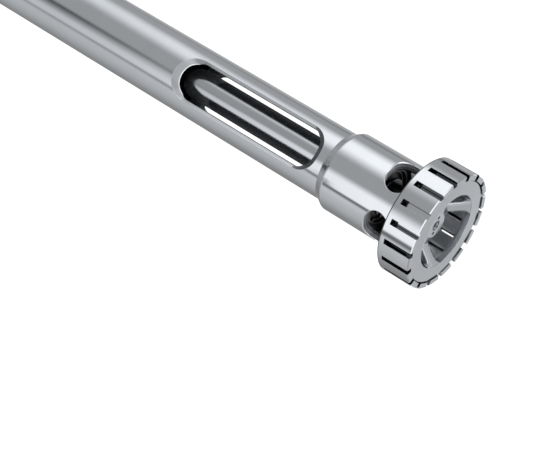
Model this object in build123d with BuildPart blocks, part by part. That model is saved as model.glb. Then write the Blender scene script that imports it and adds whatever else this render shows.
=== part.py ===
"""Rotor-stator homogenizer probe: a long windowed stem tube with a slotted head.

Millimetres, +Z up. The probe stands on its drive-end socket with the head at the top. The origin is
the centre of the socket's flat end face, and +Z runs along the shaft towards the head's front face.
The photographed side of the probe faces -Y.
"""

import os
from math import cos, radians, sin

from build123d import *

# Overall
total_length = 300.0  # socket end face to the front of the stator teeth

# Stator ring: the slotted outer part of the head
stator_radius = 22.5
ring_wall = 2.2
stator_bore = stator_radius - ring_wall
ring_length = 13.4
ring_edge = 0.35  # bevel round the front of the teeth and the back of the ring
web_thickness = 2.0
stator_web_front = ring_length - web_thickness  # depth under the tooth fronts
stator_slots = 18
stator_slot_width = 2.2
stator_slot_depth = stator_web_front - 0.2  # from the open front ends to the closed rear ends
stator_first_slot = -93.0  # azimuth of one slot, degrees

# Rotor: rim, slotted wall, dished arms and hub, turning inside the stator ring
shear_gap = 0.4  # radial gap to the stator ring
rotor_radius = stator_bore - shear_gap
rotor_recess = 0.5  # front face of the rim under the tooth fronts
rotor_rear = stator_web_front - 1.1
rim_bore = 14.5
rim_depth = 3.0
wall_bore = rim_bore + 0.5
rotor_slots = 15
rotor_slot_width = 1.0
rotor_slot_mouth = 2.0  # the slots flare towards the axis
rotor_slot_flare = 0.6
rotor_first_slot = 90.0
arm_count = 3
arm_width = 4.6
arm_azimuth = -92.0
arm_thickness = 3.2  # along the axis
arm_corner = 1.8
dish_floor = 9.0  # radius where the arms level out into the hub
hub_radius = 6.2
hub_front = 6.5
hub_rear = 13.0

# Rotor screw: round head with a counterbore and two spanner holes
screw_head_radius = 5.1
screw_head_height = 1.5
screw_head_edge = 0.3
screw_floor = 0.4  # metal left under the holes
screw_shank_radius = 2.5
screw_length = 16.0
counterbore_radius = 2.0
counterbore_depth = 0.6
centre_drill_radius = 1.0
spanner_hole_radius = 0.65
spanner_hole_circle = 3.1
spanner_azimuth = -155.0

# Drive shaft
shaft_radius = 6.0
nose_radius = 4.0  # carries the rotor hub
tail_radius = 4.0  # carries the drive coupling
shim_thickness = 0.5
running_gap = 0.05  # radial play in the bushes
seal_gap = 0.03
key_width = 2.0
key_low, key_high = 3.2, 5.0  # radial reach of the key
key_front, key_rear = 8.0, 12.4

# Stem tube and its two long windows
tube_radius = 13.5
tube_bore = tube_radius - 2.25
tube_spigot = tube_radius - 1.0
window_setback = 7.8  # behind the cone, to the bevel's inner edge
window_length = 60.2
window_width = 15.1
window_corner = 4.2
window_bevel_floor = tube_radius - 4.1  # from the axis to the bevel's inner edge
window_bevel_slope = 49.0  # from the cutter's own axis

# Bearing housing: the collar behind the head, with its liquid ports
collar_radius = tube_radius + 2.0
spigot_radius = collar_radius - 2.5  # carries the stator ring
chamber_bore = spigot_radius - 1.0
port_count = 4
port_azimuth = -37.5
port_width = 14.8
port_height = 10.6
port_edge = 0.35
port_land = 1.1  # metal in front of the ports and behind them
port_centre = ring_length + port_land + port_height / 2
chamber_rear = port_centre + port_height / 2 + port_land
bush_radius = chamber_bore - 1.5
clip_front = chamber_rear + 1.0
clip_groove = bush_radius + 0.7
clip_inner = bush_radius - 1.1
bush_front = clip_front + 1.2
bush_length = 9.8
bush_rear = bush_front + bush_length
groove_front = bush_front + 3.6
groove_rear = groove_front + 2.0
groove_depth = 1.2
seal_radius = shaft_radius + 3.0
seal_rear = bush_rear + 2.0
tube_seat_depth = 8.0  # of the tube over the housing's tail
cone_rear = seal_rear + tube_seat_depth
cone_front = cone_rear - 3.35
window_front = cone_rear + window_setback
window_rear = window_front + window_length

# Shaft clips
shaft_clip_groove = shaft_radius - 0.6
shaft_clip_outer = shaft_radius + 1.4
shaft_clip_width = 1.0
shaft_clip_fronts = (clip_front - 1.6, seal_rear + 1.0)
clip_gap = 3.0

# Drive-end socket
edge = 0.8
neck_radius = tube_radius + 4.0
neck_top = 46.0
neck_top_radius = tube_radius + 2.0
neck_taper = 5.0
neck_groove_low, neck_groove_high = 39.0, 41.0
neck_groove_radius = tube_radius + 1.1
flange_width = 5.5
flange_radius = neck_radius + flange_width
flange_height = 6.0
bolt_count = 4
bolt_circle = neck_radius + flange_width / 2
bolt_hole_radius = 1.7
lock_screw_count = 3
lock_screw_height = 33.0
lock_screw_radius = 2.0
lock_screw_length = 3.6
hexagon_radius = 1.15
socket_bore = neck_radius - 2.5
socket_depth = 16.0
web_bore = 7.5
seat_floor = 18.0
tube_seat = 26.0
rear_clip_low = tube_seat - 1.2
rear_clip_groove = tube_radius - 1.7
seat_radius = rear_clip_groove - 0.8
rear_clip_inner = seat_radius - 1.8

# Drive coupling on the tail of the shaft
coupling_radius = 9.0
coupling_low, coupling_high = 3.0, 15.0
tail_low = 9.0
coupling_slot = 5.0
coupling_slot_top = 8.0
coupling_pin_radius = 1.5
coupling_pin_height = 12.0
spacer_radius = shaft_radius + 0.5
spacer_top = seat_floor - 0.1


def up(depth):
    """Height of a feature that lies this far behind the front of the stator teeth."""
    return total_length - depth


def plane_at(azimuth, height):
    """Plane that faces outwards at an azimuth, with its own Y along the shaft."""
    a = radians(azimuth)
    return Plane(origin=(0, 0, height), x_dir=(-sin(a), cos(a), 0), z_dir=(cos(a), sin(a), 0))


os.makedirs("parts", exist_ok=True)

# Stator ring: a cup with axial slots open at the front and a web screwed on the collar's spigot
with BuildPart() as stator_ring:
    with BuildSketch(Plane.XZ):
        with BuildLine():
            Polyline(
                (spigot_radius, up(ring_length)),
                (stator_radius - ring_edge, up(ring_length)),
                (stator_radius, up(ring_length - ring_edge)),
                (stator_radius, up(ring_edge)),
                (stator_radius - ring_edge, up(0)),
                (stator_bore, up(0)),
                (stator_bore, up(stator_web_front)),
                (spigot_radius, up(stator_web_front)),
                close=True,
            )
        make_face()
    revolve(axis=Axis.Z)
    with BuildSketch(Plane.XY.offset(up(stator_slot_depth))):
        with PolarLocations(stator_bore, stator_slots, start_angle=stator_first_slot):
            Rectangle(4 * ring_wall, stator_slot_width)
    extrude(amount=stator_slot_depth, mode=Mode.SUBTRACT)
stator_ring.part.label = "stator_ring"
export_step(stator_ring.part, "parts/stator_ring.step")

# Rotor: rim and slotted wall joined to the hub by three dished arms
with BuildPart() as rotor:
    with BuildSketch(Plane.XZ):
        with BuildLine():
            Polyline(
                (nose_radius, up(hub_front)),
                (dish_floor, up(hub_front)),
                (rim_bore, up(rotor_recess)),
                (rotor_radius, up(rotor_recess)),
                (rotor_radius, up(rotor_rear)),
                (wall_bore, up(rotor_rear)),
                (wall_bore, up(rotor_recess + arm_thickness)),
                (dish_floor, up(hub_front + arm_thickness)),
                (hub_radius, up(hub_front + arm_thickness)),
                (hub_radius, up(hub_rear)),
                (nose_radius, up(hub_rear)),
                close=True,
            )
        make_face()
    revolve(axis=Axis.Z)
    # spaces between the arms
    with BuildSketch(Plane.XY.offset(up(hub_rear))):
        Circle(rim_bore)
        Circle(hub_radius, mode=Mode.SUBTRACT)
        with PolarLocations(0, arm_count, start_angle=arm_azimuth):
            Rectangle(rotor_radius, arm_width, align=(Align.MIN, Align.CENTER), mode=Mode.SUBTRACT)
        fillet(
            [v for v in vertices() if (v.X**2 + v.Y**2) ** 0.5 > rim_bore - 1.0],
            radius=arm_corner,
        )
    extrude(amount=hub_rear, mode=Mode.SUBTRACT)
    # recess that leaves the front rim standing in from the slotted wall
    with BuildSketch(Plane.XY.offset(up(rotor_rear))):
        Circle(wall_bore)
        Circle(rim_bore - arm_corner, mode=Mode.SUBTRACT)
        with PolarLocations(0, arm_count, start_angle=arm_azimuth):
            Rectangle(rotor_radius, arm_width, align=(Align.MIN, Align.CENTER), mode=Mode.SUBTRACT)
    extrude(amount=rotor_rear - rim_depth, mode=Mode.SUBTRACT)
    # slots through the wall, flared towards the axis
    with BuildSketch(Plane.XY.offset(up(rotor_rear))):
        with PolarLocations(0, rotor_slots, start_angle=rotor_first_slot):
            Polygon(
                (rim_bore, -rotor_slot_mouth / 2),
                (wall_bore + rotor_slot_flare, -rotor_slot_width / 2),
                (stator_bore, -rotor_slot_width / 2),
                (stator_bore, rotor_slot_width / 2),
                (wall_bore + rotor_slot_flare, rotor_slot_width / 2),
                (rim_bore, rotor_slot_mouth / 2),
                align=None,
            )
    extrude(amount=rotor_rear - rim_depth, mode=Mode.SUBTRACT)
    # keyway in the hub
    with BuildSketch(Plane.XY.offset(up(key_rear))):
        with PolarLocations(0, 1, start_angle=arm_azimuth):
            Rectangle(key_high, key_width, align=(Align.MIN, Align.CENTER))
        Circle(nose_radius - 0.5, mode=Mode.SUBTRACT)
    extrude(amount=key_rear - key_front, mode=Mode.SUBTRACT)
rotor.part.label = "rotor"
export_step(rotor.part, "parts/rotor.step")

# Rotor screw
with BuildPart() as rotor_screw:
    with BuildSketch(Plane.XY.offset(up(hub_front))):
        Circle(screw_head_radius)
    extrude(amount=screw_head_height)
    chamfer(faces().sort_by(Axis.Z)[-1].edges(), length=screw_head_edge)
    with BuildSketch(Plane.XY.offset(up(hub_front + screw_length))):
        Circle(screw_shank_radius)
    extrude(amount=screw_length)
    with BuildSketch(Plane.XY.offset(up(hub_front - screw_head_height))):
        Circle(counterbore_radius)
    extrude(amount=-counterbore_depth, mode=Mode.SUBTRACT)
    with BuildSketch(Plane.XY.offset(up(hub_front - screw_head_height))):
        Circle(centre_drill_radius)
        with PolarLocations(spanner_hole_circle, 2, start_angle=spanner_azimuth):
            Circle(spanner_hole_radius)
    extrude(amount=-(screw_head_height - screw_floor), mode=Mode.SUBTRACT)
rotor_screw.part.label = "rotor_screw"
export_step(rotor_screw.part, "parts/rotor_screw.step")

# Drive shaft: nose for the rotor, plain journal, tail for the coupling
with BuildPart() as drive_shaft:
    with BuildSketch(Plane.XZ):
        with BuildLine():
            Polyline(
                (0, tail_low),
                (tail_radius, tail_low),
                (tail_radius, spacer_top),
                (shaft_radius, spacer_top),
                (shaft_radius, up(hub_rear + shim_thickness)),
                (nose_radius, up(hub_rear + shim_thickness)),
                (nose_radius, up(hub_front)),
                (0, up(hub_front)),
                close=True,
            )
        make_face()
    revolve(axis=Axis.Z)
    # tapped hole for the rotor screw
    with BuildSketch(Plane.XY.offset(up(hub_front))):
        Circle(screw_shank_radius)
    extrude(amount=-(screw_length + 1.5), mode=Mode.SUBTRACT)
    # key seat
    with BuildSketch(Plane.XY.offset(up(key_rear))):
        with PolarLocations(0, 1, start_angle=arm_azimuth):
            with Locations((key_low, 0)):
                Rectangle(2.0, key_width, align=(Align.MIN, Align.CENTER))
    extrude(amount=key_rear - key_front, mode=Mode.SUBTRACT)
    # clip grooves
    for front in shaft_clip_fronts:
        with BuildSketch(Plane.XY.offset(up(front + shaft_clip_width))):
            Circle(shaft_radius + 1.0)
            Circle(shaft_clip_groove, mode=Mode.SUBTRACT)
        extrude(amount=shaft_clip_width, mode=Mode.SUBTRACT)
    # cross hole for the coupling pin
    with BuildSketch(Plane.YZ.offset(-coupling_radius)):
        with Locations((0, coupling_pin_height)):
            Circle(coupling_pin_radius)
    extrude(amount=2 * coupling_radius, mode=Mode.SUBTRACT)
drive_shaft.part.label = "drive_shaft"
export_step(drive_shaft.part, "parts/drive_shaft.step")

# Key between the shaft nose and the rotor hub
with BuildPart() as rotor_key:
    with BuildSketch(Plane.XY.offset(up(key_rear))):
        with PolarLocations(0, 1, start_angle=arm_azimuth):
            with Locations((key_low, 0)):
                Rectangle(key_high - key_low, key_width, align=(Align.MIN, Align.CENTER))
    extrude(amount=key_rear - key_front)
rotor_key.part.label = "rotor_key"
export_step(rotor_key.part, "parts/rotor_key.step")

# Shim that sets the rotor's depth in the ring
with BuildPart() as rotor_shim:
    with BuildSketch(Plane.XY.offset(up(hub_rear + shim_thickness))):
        Circle(shaft_radius)
        Circle(nose_radius, mode=Mode.SUBTRACT)
    extrude(amount=shim_thickness)
rotor_shim.part.label = "rotor_shim"
export_step(rotor_shim.part, "parts/rotor_shim.step")

# Two open clips on the shaft, one on each side of the front bush
with BuildPart() as shaft_clips:
    for front in shaft_clip_fronts:
        with BuildSketch(Plane.XY.offset(up(front + shaft_clip_width))):
            Circle(shaft_clip_outer)
            Circle(shaft_clip_groove, mode=Mode.SUBTRACT)
            Rectangle(
                2 * shaft_clip_outer, clip_gap, align=(Align.MIN, Align.CENTER), mode=Mode.SUBTRACT
            )
        extrude(amount=shaft_clip_width)
shaft_clips.part.label = "shaft_clips"
export_step(shaft_clips.part, "parts/shaft_clips.step")

# Bearing housing: collar with its ports, stator spigot, bush seat and socket for the tube
with BuildPart() as bearing_housing:
    with BuildSketch(Plane.XZ):
        with BuildLine():
            Polyline(
                (tube_spigot, up(cone_rear)),
                (tube_radius, up(cone_rear)),
                (collar_radius - 0.15, up(cone_front + 0.25)),
                (collar_radius, up(cone_front - 0.35)),
                (collar_radius, up(ring_length)),
                (spigot_radius, up(ring_length)),
                (spigot_radius, up(stator_web_front)),
                (chamber_bore, up(stator_web_front)),
                (chamber_bore, up(chamber_rear)),
                (bush_radius, up(chamber_rear)),
                (bush_radius, up(clip_front)),
                (clip_groove, up(clip_front)),
                (clip_groove, up(bush_front)),
                (bush_radius, up(bush_front)),
                (bush_radius, up(bush_rear)),
                (seal_radius, up(bush_rear)),
                (seal_radius, up(seal_rear)),
                (tube_spigot, up(seal_rear)),
                close=True,
            )
        make_face()
    revolve(axis=Axis.Z)
    for k in range(port_count):
        with BuildSketch(plane_at(port_azimuth + 360.0 / port_count * k, up(port_centre))):
            SlotOverall(port_width, port_height)
        extrude(amount=2 * collar_radius, mode=Mode.SUBTRACT)
    # fine bevel round the mouth of each port
    mouths = [
        e
        for e in edges()
        if up(port_centre + port_height) < e.center().Z < up(ring_length + 0.5)
        and all(abs((v.X**2 + v.Y**2) ** 0.5 - collar_radius) < 0.01 for v in e.vertices())
        and e.geom_type != GeomType.CIRCLE
    ]
    chamfer(mouths, length=port_edge)
bearing_housing.part.label = "bearing_housing"
export_step(bearing_housing.part, "parts/bearing_housing.step")

# Front bush with a seal groove round it
with BuildPart() as front_bush:
    with BuildSketch(Plane.XZ):
        with BuildLine():
            Polyline(
                (shaft_radius + running_gap, up(bush_rear)),
                (bush_radius, up(bush_rear)),
                (bush_radius, up(groove_rear)),
                (bush_radius - groove_depth, up(groove_rear)),
                (bush_radius - groove_depth, up(groove_front)),
                (bush_radius, up(groove_front)),
                (bush_radius, up(bush_front)),
                (shaft_radius + running_gap, up(bush_front)),
                close=True,
            )
        make_face()
    revolve(axis=Axis.Z)
front_bush.part.label = "front_bush"
export_step(front_bush.part, "parts/front_bush.step")

# Seal ring in the bush's groove
with BuildPart() as bush_seal_ring:
    with BuildSketch(Plane.XY.offset(up(groove_rear))):
        Circle(bush_radius)
        Circle(bush_radius - groove_depth, mode=Mode.SUBTRACT)
    extrude(amount=groove_rear - groove_front)
bush_seal_ring.part.label = "bush_seal_ring"
export_step(bush_seal_ring.part, "parts/bush_seal_ring.step")

# Open retaining ring in front of the bush
with BuildPart() as bush_retaining_ring:
    with BuildSketch(Plane.XY.offset(up(bush_front))):
        Circle(clip_groove)
        Circle(clip_inner, mode=Mode.SUBTRACT)
        Rectangle(2 * clip_groove, clip_gap, align=(Align.MIN, Align.CENTER), mode=Mode.SUBTRACT)
    extrude(amount=bush_front - clip_front)
bush_retaining_ring.part.label = "bush_retaining_ring"
export_step(bush_retaining_ring.part, "parts/bush_retaining_ring.step")

# Shaft seal behind the bush
with BuildPart() as shaft_seal:
    with BuildSketch(Plane.XY.offset(up(seal_rear))):
        Circle(seal_radius)
        Circle(shaft_radius + seal_gap, mode=Mode.SUBTRACT)
    extrude(amount=seal_rear - bush_rear)
shaft_seal.part.label = "shaft_seal"
export_step(shaft_seal.part, "parts/shaft_seal.step")

# Stem tube with a long bevelled window in the front and one in the back
with BuildPart() as shaft_tube:
    with BuildSketch(Plane.XZ):
        with BuildLine():
            Polyline(
                (tube_bore, tube_seat),
                (tube_radius, tube_seat),
                (tube_radius, up(cone_rear)),
                (tube_spigot, up(cone_rear)),
                (tube_spigot, up(seal_rear)),
                (tube_bore, up(seal_rear)),
                close=True,
            )
        make_face()
    revolve(axis=Axis.Z)
    for azimuth in (-90, 90):
        face = plane_at(azimuth, up((window_front + window_rear) / 2))
        with BuildSketch(face.offset(window_bevel_floor)):
            RectangleRounded(window_width, window_length, window_corner)
        extrude(amount=-window_bevel_floor, mode=Mode.SUBTRACT)
        # bevel that widens from the floor outwards, so it is broad at the ends and narrow at the sides
        with BuildSketch(face.offset(window_bevel_floor)):
            RectangleRounded(window_width, window_length, window_corner)
        extrude(
            amount=tube_radius - window_bevel_floor + 0.5, taper=-window_bevel_slope, mode=Mode.SUBTRACT
        )
shaft_tube.part.label = "shaft_tube"
export_step(shaft_tube.part, "parts/shaft_tube.step")

# Drive-end socket: foot flange, bore for the drive's nose, rear bush seat and tube seat
with BuildPart() as drive_socket:
    with BuildSketch(Plane.XZ):
        with BuildLine():
            Polyline(
                (socket_bore + edge, 0),
                (flange_radius - edge, 0),
                (flange_radius, edge),
                (flange_radius, flange_height - edge),
                (flange_radius - edge, flange_height),
                (neck_radius, flange_height),
                (neck_radius, neck_top - neck_taper),
                (neck_top_radius, neck_top),
                (tube_radius, neck_top),
                (tube_radius, neck_groove_high),
                (neck_groove_radius, neck_groove_high),
                (neck_groove_radius, neck_groove_low),
                (tube_radius, neck_groove_low),
                (tube_radius, tube_seat),
                (rear_clip_groove, tube_seat),
                (rear_clip_groove, rear_clip_low),
                (seat_radius, rear_clip_low),
                (seat_radius, seat_floor),
                (web_bore, seat_floor),
                (web_bore, socket_depth),
                (socket_bore, socket_depth),
                (socket_bore, edge),
                close=True,
            )
        make_face()
    revolve(axis=Axis.Z)
    with BuildSketch(Plane.XY):
        with PolarLocations(bolt_circle, bolt_count, start_angle=45):
            Circle(bolt_hole_radius)
    extrude(amount=flange_height, mode=Mode.SUBTRACT)
    for k in range(lock_screw_count):
        with BuildSketch(plane_at(90.0 + 360.0 / lock_screw_count * k, lock_screw_height)):
            Circle(lock_screw_radius)
        extrude(amount=2 * neck_radius, mode=Mode.SUBTRACT)
drive_socket.part.label = "drive_socket"
export_step(drive_socket.part, "parts/drive_socket.step")

# Three headless lock screws that hold the tube in the socket
with BuildPart() as lock_screws:
    for k in range(lock_screw_count):
        seat = plane_at(90.0 + 360.0 / lock_screw_count * k, lock_screw_height)
        with BuildSketch(seat.offset(tube_radius)):
            Circle(lock_screw_radius)
        extrude(amount=lock_screw_length)
        with BuildSketch(seat.offset(tube_radius + lock_screw_length / 2)):
            RegularPolygon(hexagon_radius, 6)
        extrude(amount=lock_screw_length / 2, mode=Mode.SUBTRACT)
lock_screws.part.label = "lock_screws"
export_step(lock_screws.part, "parts/lock_screws.step")

# Seal ring between the socket and the tube
with BuildPart() as socket_seal_ring:
    with BuildSketch(Plane.XY.offset(neck_groove_low)):
        Circle(neck_groove_radius)
        Circle(tube_radius, mode=Mode.SUBTRACT)
    extrude(amount=neck_groove_high - neck_groove_low)
socket_seal_ring.part.label = "socket_seal_ring"
export_step(socket_seal_ring.part, "parts/socket_seal_ring.step")

# Rear bush and the open ring over it
with BuildPart() as rear_bush:
    with BuildSketch(Plane.XY.offset(seat_floor)):
        Circle(seat_radius)
        Circle(shaft_radius + running_gap, mode=Mode.SUBTRACT)
    extrude(amount=rear_clip_low - seat_floor)
rear_bush.part.label = "rear_bush"
export_step(rear_bush.part, "parts/rear_bush.step")

with BuildPart() as rear_retaining_ring:
    with BuildSketch(Plane.XY.offset(rear_clip_low)):
        Circle(rear_clip_groove)
        Circle(rear_clip_inner, mode=Mode.SUBTRACT)
        Rectangle(
            2 * rear_clip_groove, clip_gap, align=(Align.MIN, Align.CENTER), mode=Mode.SUBTRACT
        )
    extrude(amount=tube_seat - rear_clip_low)
rear_retaining_ring.part.label = "rear_retaining_ring"
export_step(rear_retaining_ring.part, "parts/rear_retaining_ring.step")

# Spacer between the coupling and the shaft's shoulder
with BuildPart() as shaft_spacer:
    with BuildSketch(Plane.XY.offset(coupling_high)):
        Circle(spacer_radius)
        Circle(tail_radius, mode=Mode.SUBTRACT)
    extrude(amount=spacer_top - coupling_high)
shaft_spacer.part.label = "shaft_spacer"
export_step(shaft_spacer.part, "parts/shaft_spacer.step")

# Drive coupling with its driving slot, pinned on the tail of the shaft
with BuildPart() as drive_coupling:
    with BuildSketch(Plane.XZ):
        with BuildLine():
            Polyline(
                (0, coupling_low),
                (coupling_radius - edge, coupling_low),
                (coupling_radius, coupling_low + edge),
                (coupling_radius, coupling_high),
                (tail_radius, coupling_high),
                (tail_radius, tail_low),
                (0, tail_low),
                close=True,
            )
        make_face()
    revolve(axis=Axis.Z)
    with BuildSketch(Plane.XY.offset(coupling_low)):
        Rectangle(3 * coupling_radius, coupling_slot)
    extrude(amount=coupling_slot_top - coupling_low, mode=Mode.SUBTRACT)
    with BuildSketch(Plane.YZ.offset(-coupling_radius)):
        with Locations((0, coupling_pin_height)):
            Circle(coupling_pin_radius)
    extrude(amount=2 * coupling_radius, mode=Mode.SUBTRACT)
drive_coupling.part.label = "drive_coupling"
export_step(drive_coupling.part, "parts/drive_coupling.step")

with BuildPart() as coupling_pin:
    with BuildSketch(Plane.YZ.offset(0.3 - coupling_radius)):
        with Locations((0, coupling_pin_height)):
            Circle(coupling_pin_radius)
    extrude(amount=2 * (coupling_radius - 0.3))
coupling_pin.part.label = "coupling_pin"
export_step(coupling_pin.part, "parts/coupling_pin.step")
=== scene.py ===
"""Looks of a rotor-stator homogenizer probe in turned and polished stainless steel.

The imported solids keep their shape. This script gives each of them its finish and sets up the floor,
the light tent, the lamp and the camera. Metres, +Z up, with the head at the top of the standing
probe.
"""

import math

import bpy
import numpy as np
from mathutils import Matrix, Vector

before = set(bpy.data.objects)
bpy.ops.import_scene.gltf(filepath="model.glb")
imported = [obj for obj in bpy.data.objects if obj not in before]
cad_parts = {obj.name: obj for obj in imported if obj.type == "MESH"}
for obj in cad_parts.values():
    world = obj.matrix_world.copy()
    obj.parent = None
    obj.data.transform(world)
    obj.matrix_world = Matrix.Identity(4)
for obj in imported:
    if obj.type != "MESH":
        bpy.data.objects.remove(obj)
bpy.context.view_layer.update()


# Stator ring: the slotted outer part of the head. It is turned from stainless bar, its eighteen
# slots are milled in from the front, and it is screwed on the collar. Faces and rim are machine
# polished, so fine turning marks follow the rim on the outside and run in circles on the front.
steel_tint = (0.950, 0.986, 1.033)  # the metal's red, green and blue against a plain grey


class Wire:
    """A shader socket, so that arithmetic on it adds Math nodes. node() adds any other node."""

    def __init__(self, tree, socket=None):
        self.tree, self.socket = tree, socket

    def feed(self, socket, value):
        """Links a wire to the socket, or sets a plain value on it."""
        if isinstance(value, Wire):
            self.tree.links.new(value.socket, socket)
        else:
            socket.default_value = value

    def node(self, kind, settings=None, sockets=None, out=0):
        """Adds a node of that kind, its settings first, then its sockets; returns one output."""
        made = self.tree.nodes.new("ShaderNode" + kind)
        for name, value in (settings or {}).items():
            setattr(made, name, value)
        for name, value in (sockets or {}).items():
            self.feed(made.inputs[name], value)
        return Wire(self.tree, made.outputs[out] if made.outputs else None)

    def math(self, operation, *values):
        return self.node("Math", {"operation": operation}, dict(enumerate(values)))

    def __add__(self, other):
        return self.math("ADD", self, other)

    def __sub__(self, other):
        return self.math("SUBTRACT", self, other)

    def __rsub__(self, other):
        return self.math("SUBTRACT", other, self)

    def __mul__(self, other):
        return self.math("MULTIPLY", self, other)

    def __truediv__(self, other):
        return self.math("DIVIDE", self, other)

    def __pow__(self, other):
        return self.math("POWER", self, other)

    def ramp(self, start, end):
        """0 before start and 1 after end, with a smooth rise between."""
        values = {"Value": self, "From Min": start, "From Max": end}
        return self.node("MapRange", {"interpolation_type": "SMOOTHSTEP"}, values)

    def between(self, start, full, fading, end):
        """1 from full to fading and 0 outside start and end, with a smooth slope on each side."""
        return self.ramp(start, full) * (1.0 - self.ramp(fading, end))

    __radd__ = __add__
    __rmul__ = __mul__


def new_material(name):
    """An empty material, and a wire that adds nodes to it."""
    made = bpy.data.materials.new(name)
    made.use_nodes = True
    made.node_tree.nodes.clear()
    return made, Wire(made.node_tree)


def coordinates(start):
    """Object coordinates as a vector, as x, y and z, and the distance from the probe's axis."""
    place = start.node("TexCoord", out="Object")
    x, y, z = (start.node("SeparateXYZ", {}, {0: place}, out=axis) for axis in "XYZ")
    return place, x, y, z, (x * x + y * y) ** 0.5


def tint(wire, tone):
    """A grey of that tone, given the steel's slight blue, as one colour socket."""
    colour = wire.node("CombineColor", {}, dict.fromkeys(("Red", "Green", "Blue"), tone))
    mix = {"data_type": "RGBA", "blend_type": "MULTIPLY"}
    return wire.node("Mix", mix, {0: 1.0, 6: colour, 7: (*steel_tint, 1.0)}, out=2)


def turned_steel(name, tone, roughness, pitch, groove, edge, zones=(), edge_brightening=0.12, blend=None):
    """Stainless steel as it leaves the lathe.

    Turning marks are noise of height and radius alone, at that pitch and depth of groove, so they
    run round the axis on a cylinder and in circles on a face. Cloudy patches and fine long scratches
    vary the gloss. Edges within the edge radius are rounded in the shading, and their colour is
    painted
    brighter there: a painted highlight, which on blackened steel stands for wear as well. Each zone
    is
    a ring-shaped space with its own tone and finish, which paints shade or highlight in some places:
    its least and greatest radius, its lowest and highest level, its tone and its added roughness. A
    blend is a level and the larger edge radius that holds below it.
    """
    cloud_scale = 90.0
    scratch_scale = (2600.0, 2600.0, 60.0)  # thin round the axis and long beside it
    soft = 0.0001  # over which a zone fades out at its border
    blend_soft = 0.0005

    finish, start = new_material(name)
    place, _, _, z, radius = coordinates(start)
    along = start.node("CombineXYZ", {}, {"X": z / pitch, "Y": radius / pitch, "Z": 0.0})
    fine = {"Vector": along, "Scale": 1.0, "Detail": 2.0, "Roughness": 0.6}
    marks = start.node("TexNoise", {}, fine)
    patches = {"Vector": place, "Scale": cloud_scale, "Detail": 3.0}
    cloud = start.node("TexNoise", {}, patches)
    stretched = start.node("Mapping", {}, {"Vector": place, "Scale": scratch_scale})
    streaks = {"Vector": stretched, "Scale": 1.0, "Detail": 1.0}
    scratch = start.node("TexNoise", {}, streaks).ramp(0.66, 0.74)

    rounded = start.node("Bevel", {"samples": 6}, {"Radius": edge})
    if blend is not None:
        level, edge_below = blend
        wide = start.node("Bevel", {"samples": 8}, {"Radius": edge_below})
        below = 1.0 - z.ramp(level - blend_soft, level + blend_soft)
        either = {0: below, 4: rounded, 5: wide}
        rounded = start.node("Mix", {"data_type": "VECTOR"}, either, out=1)
    # an edge is where the rounded normal leans away from the face's own
    flat = start.node("NewGeometry", out="Normal")
    normals = {0: rounded, 1: flat}
    facing = start.node("VectorMath", {"operation": "DOT_PRODUCT"}, normals, out="Value")
    edge_wear_and_glint = (1.0 - facing).ramp(0.01, 0.12)

    # edges get a painted highlight, and on blackened steel wear as well; the zones below paint shade
    # and highlights
    metal = (0.96 + cloud * 0.08 + edge_wear_and_glint * edge_brightening + (marks - 0.5) * 0.06) * tone
    gloss = roughness * (0.8 + cloud * 0.4) + scratch * 0.04 + (marks - 0.5) * 0.04
    for least, greatest, lowest, highest, zone_tone, blur in zones:
        across = radius.between(least - soft, least, greatest - soft, greatest + soft)
        upwards = z.between(lowest - soft, lowest, highest - soft, highest + soft)
        within = across * upwards
        metal = metal * (1.0 - within) + within * zone_tone
        gloss = gloss + within * blur
    grooves = {"Strength": 1.0, "Distance": groove, "Height": marks, "Normal": rounded}
    bumped = start.node("Bump", {}, grooves)
    colour = tint(start, metal)
    values = {"Base Color": colour, "Metallic": 1.0, "Roughness": gloss, "Normal": bumped}
    shader = start.node("BsdfPrincipled", {}, values)
    start.node("OutputMaterial", {}, {"Surface": shader})
    return finish


def dress(finish, *names):
    """Gives CAD nodes this finish."""
    for name in names:
        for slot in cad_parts[name].material_slots:
            slot.material = finish


# the ring's zones paint its shade: dark slot walls, bore, web and slot ends, and a painted shadow in
# the corner against the collar
ring_zones = [
    (0.0204, 0.02242, 0.2867, 0.2996, 0.24, 0.0),  # slot walls, painted dark as shade
    (0.0200, 0.0204, 0.2867, 0.29995, 0.32, 0.05),  # bore, painted dark as shade
    (0.0, 0.0222, 0.2867, 0.2891, 0.04, 0.22),  # web and slot ends, painted near black as shade
    (0.0221, 0.0227, 0.2860, 0.28710, 0.05, 0.20),  # painted shadow in the corner against the collar
]
ring_steel = turned_steel(
    "polished_ring",
    tone=0.62,
    roughness=0.08,
    pitch=0.00012,
    groove=1.0e-6,
    edge=0.00005,
    zones=ring_zones,
)
dress(ring_steel, "stator_ring")

# Rotor: rim, slotted wall and hub joined by three dished arms, milled from one stainless blank and
# keyed to the shaft. The front of its rim is as bright as the ring's; inside the bore the wall is
# left as milled and duller. Its zones paint shade deep in the slots and round the screw's head, and
# painted highlights at the end of the rim's bore and on the slots' mouths.
rotor_zones = [
    (0.0, 0.0143, 0.2, 0.2993, 0.74, 0.0),  # arms and hub, a lighter tone than the rim
    (0.0144, 0.01475, 0.2970, 0.29935, 0.65, 0.22),  # bore of the rim
    (0.0144, 0.01475, 0.2968, 0.2972, 1.2, 0.1),  # painted highlight where the rim's bore ends
    (0.01475, 0.0157, 0.2, 0.2970, 0.80, 0.22),  # slotted wall, painted lighter
    (0.01512, 0.0157, 0.2, 0.2970, 1.3, 0.3),  # flanks of the slots' mouths, painted highlight
    (0.0157, 0.01975, 0.2, 0.2969, 0.04, 0.22),  # depth of the slots, painted dark as shade
    (0.0050, 0.0055, 0.2930, 0.2938, 0.20, 0.1),  # painted shadow on the hub close round the screw's head
]
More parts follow.
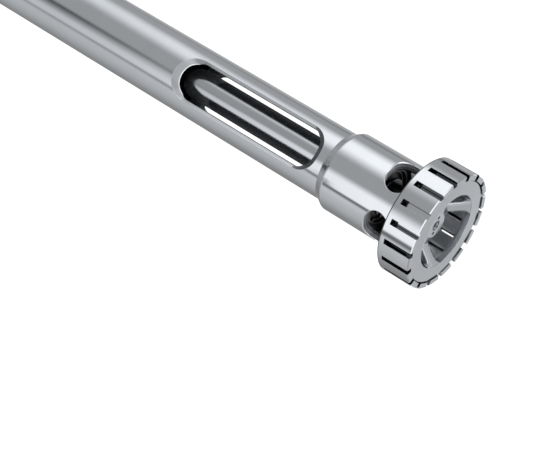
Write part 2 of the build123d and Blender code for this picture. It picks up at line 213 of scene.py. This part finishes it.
rotor_steel = turned_steel(
    "milled_rotor",
    tone=0.60,
    roughness=0.10,
    pitch=0.00012,
    groove=1.2e-6,
    edge=0.00012,
    zones=rotor_zones,
    edge_brightening=0.35,
    blend=(0.2988, 0.0014),
)
dress(rotor_steel, "rotor", "rotor_key", "rotor_shim")

# Rotor screw: the stainless screw that holds the rotor on the shaft's end. It is turned and faced in
# one setting, with a pin-spanner hole on each side of its counterbore.
# the counterbore and spanner holes are painted dark as shade, and the head's rim is painted bright as
# a highlight
screw_zones = [
    (0.0, 0.00198, 0.2, 0.29495, 0.30, 0.05),  # counterbore and centre drilling, painted dark as shade
    (0.0023, 0.0039, 0.2, 0.29485, 0.02, 0.10),  # spanner holes, painted black as shade
]
screw_steel = turned_steel(
    "faced_screw",
    tone=0.65,
    roughness=0.09,
    pitch=0.0001,
    groove=1.0e-6,
    edge=0.0001,
    zones=screw_zones,
    edge_brightening=0.8,
)
dress(screw_steel, "rotor_screw")

# Collar: the stainless housing behind the head, turned and polished bright, with a cone at its rear
# and four oblong ports milled through it. Its chamber and bush seat are bored and stay dull, and the
# zones paint them near black as shade, shade deep in the ports, a highlight on the ports' bevels and
# a darker reflection on the cone.
collar_zones = [
    (0.0, 0.0125, 0.0, 0.3, 0.03, 0.22),  # chamber and bush seat, painted near black as shade
    (0.0125, 0.0137, 0.2748, 0.2857, 0.25, 0.45),  # walls of the ports, painted dark as shade
    (0.0137, 0.0151, 0.2748, 0.2857, 0.55, 0.45),  # the same near their mouths, painted less dark
    (0.01525, 0.01540, 0.2742, 0.2864, 1.15, 0.15),  # bevel of the mouths, painted highlight
    (0.0133, 0.01549, 0.2516, 0.2551, 0.55, 0.07),  # cone at the rear, painted a little darker to dim a reflection
]
collar_steel = turned_steel(
    "polished_collar",
    tone=0.62,
    roughness=0.08,
    pitch=0.00015,
    groove=1.0e-6,
    edge=0.0001,
    zones=collar_zones,
    edge_brightening=0.3,
)
dress(collar_steel, "bearing_housing")

# Stem tube: drawn stainless tube, ground round its outside, with two long bevelled windows milled
# through it. The bore keeps its dull drawn skin and is painted dark as shade, the windows' bevels
# darker at their ends as shade, with a painted highlight on the inner edge of the rear ends.
tube_zones = [
    (0.0, 0.01135, 0.0, 0.3, 0.20, 0.22),  # bore, painted dark as shade
    (0.0, 0.01135, 0.0, 0.1860, 0.03, 0.0),  # bore behind the windows, painted near black as shade
    (0.01135, 0.01338, 0.1750, 0.2520, 0.56, 0.22),  # bevels of the windows
    (0.01135, 0.01338, 0.1750, 0.1876, 0.42, 0.0),  # the same, rear ends, painted darker as shade
    (0.01135, 0.01338, 0.2404, 0.2520, 0.26, 0.0),  # the same, front ends, painted darker still as shade
    (0.01120, 0.01150, 0.1780, 0.1900, 1.0, 0.0),  # painted highlight on the inner edge of the rear ends
]
tube_steel = turned_steel(
    "ground_tube",
    tone=0.62,
    roughness=0.13,
    pitch=0.0002,
    groove=1.5e-6,
    edge=0.0001,
    zones=tube_zones,
)
dress(tube_steel, "shaft_tube")

# Drive shaft: centreless ground stainless rod, seen through the windows, with its spacer, coupling
# and pin. In the chamber behind the rotor it is painted near black as shade.
shaft_zones = [(0.0, 0.0075, 0.2720, 0.2869, 0.02, 0.22)]
shaft_steel = turned_steel(
    "ground_shaft",
    tone=0.56,
    roughness=0.18,
    pitch=0.0001,
    groove=1.2e-6,
    edge=0.0001,
    zones=shaft_zones,
)
dress(shaft_steel, "drive_shaft", "shaft_spacer", "drive_coupling", "coupling_pin")

# Clips, retaining rings and lock screws: the clips and rings snap into grooves and the screws hold
# the tube in its socket. They are blackened spring and screw steel, painted near black also as
# shade, and painted bright along the edges as wear and as a highlight.
spring_steel = turned_steel(
    "spring_steel",
    tone=0.03,
    roughness=0.3,
    pitch=0.0003,
    groove=1.0e-6,
    edge=0.0002,
    edge_brightening=12.0,
)
dress(spring_steel, "shaft_clips", "bush_retaining_ring", "rear_retaining_ring", "lock_screws")

# Drive-end socket: the probe's stainless foot, turned in one piece, with a flange that is screwed to
# the drive and a neck that holds the tube. Its bore is left dull and is painted dark as shade.
socket_zones = [(0.0, 0.0142, 0.0, 0.3, 0.2, 0.22)]
socket_steel = turned_steel(
    "turned_socket",
    tone=0.60,
    roughness=0.2,
    pitch=0.00025,
    groove=2.0e-6,
    edge=0.0002,
    zones=socket_zones,
)
dress(socket_steel, "drive_socket")


# Bushes: plain bearing rings that guide the shaft in the collar and in the socket. They are machined
# from carbon-filled bearing polymer, which is near black.
def moulded(name, colour, roughness, grain):
    """A matte polymer or rubber: one colour that clouds a little, over a fine even grain."""
    finish, start = new_material(name)
    place = start.node("TexCoord", out="Object")
    cloud = start.node("TexNoise", {}, {"Vector": place, "Scale": 300.0, "Detail": 3.0})
    fine = start.node("TexNoise", {}, {"Vector": place, "Scale": 9000.0, "Detail": 1.0})
    deep = tuple(channel * 0.8 for channel in colour)
    mix = {"data_type": "RGBA", "blend_type": "MIX"}
    body = start.node("Mix", mix, {0: cloud, 6: (*deep, 1.0), 7: (*colour, 1.0)}, out=2)
    bumped = start.node("Bump", {}, {"Distance": grain, "Height": fine})
    values = {"Base Color": body, "Roughness": roughness + (cloud - 0.5) * 0.2, "Normal": bumped}
    shader = start.node("BsdfPrincipled", {}, values)
    start.node("OutputMaterial", {}, {"Surface": shader})
    return finish


bush_polymer = moulded("bush_polymer", (0.03, 0.03, 0.032), roughness=0.4, grain=4e-6)
dress(bush_polymer, "front_bush", "rear_bush")

# Seals: rings that sit in grooves and a lip seal round the shaft, all moulded from black
# fluorocarbon rubber.
seal_rubber = moulded("seal_rubber", (0.025, 0.025, 0.027), roughness=0.55, grain=8e-6)
dress(seal_rubber, "bush_seal_ring", "shaft_seal", "socket_seal_ring")

# Floor: a wide sheet of white paper that the probe stands on. To the eye and in the metal it has a
# little light of its own, so that it is white there and still keeps the shadow.
floor_radius, floor_sides = 4.0, 64
paper_white = (0.92, 0.92, 0.92, 1.0)
paper_light = 0.16

paper, start = new_material("white_paper")
rays = ("Is Camera Ray", "Is Glossy Ray", "Is Transmission Ray")
by_eye, in_metal, through = (start.node("LightPath", out=ray) for ray in rays)
lift = start.node("Emission", {}, {"Strength": (by_eye + in_metal + through) * paper_light})
matte = start.node("BsdfDiffuse", {}, {"Color": paper_white})
sheet = start.node("AddShader", {}, {0: lift, 1: matte})
start.node("OutputMaterial", {}, {"Surface": sheet})

angle = np.linspace(0, 2 * math.pi, floor_sides + 1)[:-1]
flat = np.zeros(floor_sides)
rim = np.stack([floor_radius * np.cos(angle), floor_radius * np.sin(angle), flat], 1)
floor_mesh = bpy.data.meshes.new("floor")
floor_mesh.from_pydata(rim, [], [list(range(floor_sides))])
floor_mesh.materials.append(paper)
floor = bpy.data.objects.new("floor", floor_mesh)
bpy.context.scene.collection.objects.link(floor)


# Light tent: a funnel of white cloth that opens upwards round the probe and closes in a roof, with
# a soft box on the picture's left, one on its right and dark seams. Only polished metal shows it,
# so it stands in no view and shades nothing.
def turned_sheet(name, profile, steps):
    """A surface of revolution: each point (r, z) of the profile is carried round the axis.

    Vertex (i, k) is (r_i cos a_k, r_i sin a_k, z_i) for equal steps of the angle a, and neighbours
    on the grid share a face.
    """
    r, z = np.array(profile).T
    a = np.arange(steps) * 2 * math.pi / steps
    levels = np.outer(z, np.ones(steps))
    grid = np.stack([np.outer(r, np.cos(a)), np.outer(r, np.sin(a)), levels], -1)
    index = np.arange(len(r) * steps).reshape(len(r), steps)
    turned = np.roll(index, -1, 1)
    faces = np.stack([index[:-1], turned[:-1], turned[1:], index[1:]], -1).reshape(-1, 4)
    mesh = bpy.data.meshes.new(name)
    mesh.from_pydata(grid.reshape(-1, 3), [], faces)
    made = bpy.data.objects.new(name, mesh)
    bpy.context.scene.collection.objects.link(made)
    return made


tent_foot, tent_rim = 0.06, 0.42
tent_slope = 0.577
tent_profile = [
    (0.027, 0.002),  # the cloth lies flat from here to the foot
    (tent_foot, 0.003),
    (tent_rim, (tent_rim - tent_foot) * tent_slope),
    (0.7, 0.6),  # its widest point
    (0.6, 0.9),  # edge of the roof
    (0.0001, 1.1),  # peak of the roof
]
tent = turned_sheet("light_tent", tent_profile, steps=96)
cloth, start = new_material("tent_cloth")
_, x, y, z, reach = coordinates(start)
# bearing in degrees from the camera's side, positive towards -X, which is the picture's right
bearing = start.math("ARCTAN2", 0.0 - x, 0.0 - y) * (180 / math.pi)
bearing_squared = bearing * bearing


def aside(least, full):
    """0 within the least bearing and 1 beyond the full one, on the left and right alike."""
    return bearing_squared.ramp(least**2, full**2)


# the funnel: each part is 1 on its own stretch of bearing, and some change as the cloth rises
height = reach.ramp(0.10, 0.34)
low = 1.0 - height
# on this narrow ring the left box starts later, which rounds a streak's corner on the collar
notch = reach.between(0.2748, 0.2765, 0.2786, 0.2822) * 14.0
left_box = bearing.between(notch - 57.0, notch - 51.0, -26.0, height * 4.0 - 10.0)
right_box = bearing.between(30.0 - height * 7.0, 66.0 - height * 8.0, 72.0, 103.0)
seam = bearing.between(-66.0, -60.0, notch - 58.0, notch - 52.0)
hem = bearing.between(-84.0, -70.0, -66.0, -60.0)
fold = bearing.between(-42.0, -20.0, -16.0, -4.0)
right_seam = bearing.between(116.0, 126.0, 130.0, 138.0)
left_side = 1.0 - bearing.ramp(-60.0, -50.0)
left_front = bearing.ramp(-135.0, -100.0)
left_wall = 1.0 - bearing.ramp(-152.0, -70.0)
right_wall = bearing.ramp(130.0, 140.0)
behind = 1.0 - bearing.ramp(-176.0, -154.0) + bearing.ramp(154.0, 178.0)
cloth_tone = (
    0.49
    + left_side * (0.21 + height * left_front * 0.07)
    - left_wall * 0.40
    + right_wall * 0.04
    + left_box * (0.30 + height * 0.63)
    + right_box * (0.54 + height * 0.50)
    - seam * (0.21 + height * 0.31)
    + hem * height * 0.08
    - fold * low * low * 0.48
    - right_seam * (0.07 + height * 0.10)
    + behind * 0.30
)
# even high walls on three sides, darker above 0.6 m, and a bright shelf low behind the probe
upper = z.ramp(0.48, 0.58) * aside(70.0, 100.0)
cloth_tone = cloth_tone * (1.0 - upper) + upper * (0.66 - z.ramp(0.58, 0.63) * 0.16)
cloth_tone = cloth_tone + z.between(0.22, 0.28, 0.42, 0.50) * aside(130.0, 150.0) * 0.8
# darker under the probe, in a band across the front, and in a knot beside the foot on the left
foot_shade = 1.0 - reach.ramp(0.060, 0.085)
band = z.between(0.27, 0.30, 0.40, 0.46) * (1.0 - aside(90.0, 120.0))
knot = bearing.between(-92.0, -80.0, -56.0, -44.0) * reach.between(0.028, 0.034, 0.052, 0.060)
for depth in (foot_shade * 0.45, band * 0.55, knot * 0.95):
    cloth_tone = cloth_tone * (1.0 - depth)
# the roof: grey over the probe, white in front of that and light grey behind it
roof = z.ramp(0.88, 0.94)
roof_tone = 0.35 + reach.ramp(0.08, 0.14) * (1.2 - aside(60.0, 120.0) * 0.65)
cloth_tone = cloth_tone * (1.0 - roof) + roof * roof_tone
glow = start.node("Emission", {}, {"Color": cloth_tone, "Strength": 1.0})
start.node("OutputMaterial", {}, {"Surface": glow})
tent.data.materials.append(cloth)
tent.visible_camera = False
tent.visible_diffuse = False
tent.visible_shadow = False
tent.visible_transmission = False

# Lamp and sky: one wide soft lamp over the probe, in an even white room. The tent hides the room
# from the metal, and the lamp is left out of its reflections.
world = bpy.data.worlds.new("white_room")
bpy.context.scene.world = world
world.use_nodes = True
sky = world.node_tree.nodes["Background"].inputs
sky["Color"].default_value = (1.0, 1.0, 1.0, 1.0)
sky["Strength"].default_value = 0.9

lamp = bpy.data.lights.new("overhead", "AREA")
lamp.shape, lamp.size, lamp.energy = "DISK", 1.6, 9.0
lamp_aim = Vector((0, 0, 0.1))
overhead = bpy.data.objects.new("overhead", lamp)
overhead.location = (-0.3, -0.4, 1.6)
overhead.rotation_euler = (lamp_aim - overhead.location).to_track_quat("-Z", "Y").to_euler()
overhead.visible_glossy = False
bpy.context.scene.collection.objects.link(overhead)

# Camera: in front of the probe and above it, rolled so that the probe lies across the picture. Its
# place and lens were worked out from the photographed outlines.
camera_place = Vector((0.0, -0.532392, 0.507834))
camera_aim = Vector((0.030668, 0.0, 0.239559))
camera_roll = math.radians(122.374)
lens = bpy.data.cameras.new("camera")
lens.lens, lens.sensor_width = 109.7377, 36.0
lens.clip_start, lens.clip_end = 0.01, 20.0
camera = bpy.data.objects.new("camera", lens)
facing = (camera_aim - camera_place).to_track_quat("-Z", "Y").to_matrix()
turn = facing @ Matrix.Rotation(camera_roll, 3, "Z")
camera.matrix_world = Matrix.Translation(camera_place) @ turn.to_4x4()
bpy.context.scene.collection.objects.link(camera)
bpy.context.scene.camera = camera

bpy.context.scene.view_settings.view_transform = "Standard"
